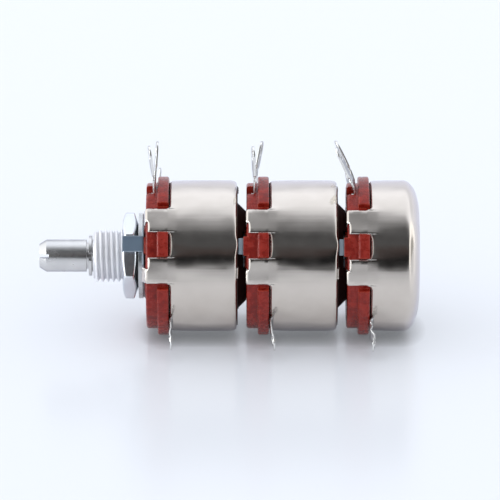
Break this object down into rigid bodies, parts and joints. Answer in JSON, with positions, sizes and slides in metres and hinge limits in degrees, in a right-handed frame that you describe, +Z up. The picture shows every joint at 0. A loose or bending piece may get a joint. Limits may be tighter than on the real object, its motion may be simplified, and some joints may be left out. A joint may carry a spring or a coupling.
{
  "type": "rotary potentiometer",
  "caption": "Stacked rotary potentiometer in round metal cans on one slotted shaft, with a threaded bush, nut, locating tab and solder lugs.",
  "frame": {"origin": "on the shaft's axis, in the front face of the first locating plate, which seats on the rear of a panel", "axes": "-X along the shaft towards its slotted end, +X towards the last can; +Z up as the part lies on its base flanges, terminals up and to +Y"},
  "size_m": [0.0709, 0.0362, 0.0371],
  "materials": {
    "plated_brass": "bright zinc plating over brass, turned",
    "shaft_steel": "turned bright steel",
    "can_metal": "drawn and nickel plated, satin",
    "plate_steel": "pressed and plated strip",
    "red_phenolic": "pressed phenolic, brick red",
    "dark_phenolic": "dark brown phenolic",
    "terminal_metal": "silvered brass strip",
    "track_board": "paper laminate with a carbon track",
    "spring_bronze": "phosphor bronze",
    "carbon": "pressed carbon"
  },
  "bodies": {
    "housing": {"mounting_bush": "plated_brass", "locating_plate_1": "plate_steel", "base_1": "red_phenolic", "resistive_element_1": "track_board", "collector_1": "terminal_metal", "terminal_rivets_1": "terminal_metal", "can_1": "can_metal", "terminal_1_start": "terminal_metal", "terminal_1_wiper": "terminal_metal", "terminal_1_end": "terminal_metal", "rear_plate_1": "dark_phenolic", "joining_rivet_1": "plated_brass", "locating_plate_2": "plate_steel", "base_2": "red_phenolic", "resistive_element_2": "track_board", "collector_2": "terminal_metal", "terminal_rivets_2": "terminal_metal", "can_2": "can_metal", "terminal_2_start": "terminal_metal", "terminal_2_wiper": "terminal_metal", "terminal_2_end": "terminal_metal", "rear_plate_2": "dark_phenolic", "joining_rivet_2": "plated_brass", "locating_plate_3": "plate_steel", "base_3": "red_phenolic", "resistive_element_3": "track_board", "collector_3": "terminal_metal", "terminal_rivets_3": "terminal_metal", "can_3": "can_metal", "terminal_3_start": "terminal_metal", "terminal_3_wiper": "terminal_metal", "terminal_3_end": "terminal_metal"},
    "shaft_assembly": {"shaft": "shaft_steel", "retaining_ring": "shaft_steel", "rotor_1": "dark_phenolic", "wiper_spring_1": "spring_bronze", "carbon_brush_1": "carbon", "rotor_2": "dark_phenolic", "wiper_spring_2": "spring_bronze", "carbon_brush_2": "carbon", "rotor_3": "dark_phenolic", "wiper_spring_3": "spring_bronze", "carbon_brush_3": "carbon"},
    "washer": {"washer": "plated_brass"},
    "nut": {"nut": "plated_brass"}
  },
  "joints": [
    {"name": "shaft_turn", "type": "hinge", "parent": "housing", "child": "shaft_assembly", "pos_m": [0, 0, 0], "axis": [1, 0, 0], "range_deg": [-135, 135]},
    {"name": "nut_travel", "type": "slide", "parent": "housing", "child": "washer", "axis": [-1, 0, 0], "range_m": [0, 0.005]},
    {"name": "nut_turn", "type": "hinge", "parent": "washer", "child": "nut", "pos_m": [0, 0, 0], "axis": [-1, 0, 0], "range_deg": [0, 1800]}
  ],
  "couplings": [
    {"joint": "nut_travel", "follows": "nut_turn", "m_per_rad": 0.00015915}
  ]
}
